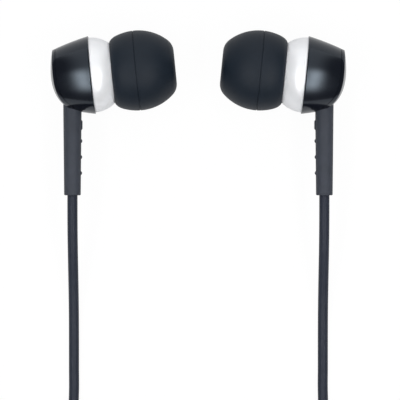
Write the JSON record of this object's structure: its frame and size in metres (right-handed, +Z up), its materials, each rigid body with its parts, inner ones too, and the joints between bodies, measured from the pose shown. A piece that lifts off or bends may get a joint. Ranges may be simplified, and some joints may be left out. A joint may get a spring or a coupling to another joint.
{
  "type": "wired earphones",
  "caption": "In-ear wired earphones with ball-shaped silver fronts, black rear shells, silicone tips, and a cable put away in ties, with a right-angled jack plug.",
  "frame": {"origin": "on the table, midway between the two buds and midway between the tips' upper edges and the sleeves' lower ends", "axes": "+X to the right along the line between the buds, +Y from the cable towards the buds, +Z up from the table"},
  "size_m": [0.0515, 0.1739, 0.0125],
  "materials": {
    "silicone": "matte silicone with a soft bloom",
    "silver": "bright satin silver",
    "gloss_black": "polished black",
    "black_plastic": "fine satin",
    "soft_black": "satin elastomer",
    "cord": "satin elastomer jacket",
    "tie": "woven strap",
    "steel": "plain",
    "foam": "open-cell foam",
    "film": "clear film",
    "copper": "enamelled wire",
    "iron": "plated iron",
    "magnet": "nickel plated magnet",
    "board": "solder mask",
    "gilt": "gold plated"
  },
  "bodies": {
    "earphones": {"left_front_shell": "silver", "left_nozzle_mesh": "steel", "left_damper": "foam", "left_driver_frame": "black_plastic", "left_diaphragm": "film", "left_voice_coil": "copper", "left_pole_plate": "iron", "left_magnet": "magnet", "left_yoke": "iron", "left_terminal_board": "board", "left_rear_shell": "gloss_black", "left_rear_cap": "gloss_black", "left_strain_relief": "soft_black", "left_cord_end": "cord", "left_cord_clamp": "steel", "left_lead_wires": "copper", "left_arm_cord": "cord", "left_arm_coil": "cord", "left_arm_coil_tie": "tie", "left_arm_lead_in": "cord", "right_front_shell": "silver", "right_nozzle_mesh": "steel", "right_damper": "foam", "right_driver_frame": "black_plastic", "right_diaphragm": "film", "right_voice_coil": "copper", "right_pole_plate": "iron", "right_magnet": "magnet", "right_yoke": "iron", "right_terminal_board": "board", "right_rear_shell": "gloss_black", "right_rear_cap": "gloss_black", "right_strain_relief": "soft_black", "right_cord_end": "cord", "right_cord_clamp": "steel", "right_lead_wires": "copper", "right_arm_cord": "cord", "right_arm_coil": "cord", "right_arm_coil_tie": "tie", "right_arm_lead_in": "cord", "splitter_top": "black_plastic", "splitter_bottom": "black_plastic", "splitter_crimp": "steel", "splitter_cord_ends": "cord", "main_cord": "cord", "main_coil": "cord", "main_coil_tie": "tie", "plug_cord": "cord", "plug_tip": "gilt", "plug_ring": "gilt", "plug_sleeve": "gilt", "plug_insulators": "black_plastic", "plug_core": "gilt", "plug_grip": "soft_black", "plug_relief": "soft_black", "plug_cord_end": "cord"},
    "left_tip": {"left_ear_tip": "silicone"},
    "right_tip": {"right_ear_tip": "silicone"},
    "slider": {"cord_slider": "black_plastic"}
  },
  "joints": [
    {"name": "left_tip_pull", "type": "slide", "parent": "earphones", "child": "left_tip", "axis": [0.9951, 0.0993, 0], "range_m": [0, 0.0032]},
    {"name": "right_tip_pull", "type": "slide", "parent": "earphones", "child": "right_tip", "axis": [-0.9951, 0.0993, 0], "range_m": [0, 0.0032]},
    {"name": "cord_slide", "type": "slide", "parent": "earphones", "child": "slider", "axis": [0, 1, 0], "range_m": [0, 0.008]}
  ]
}
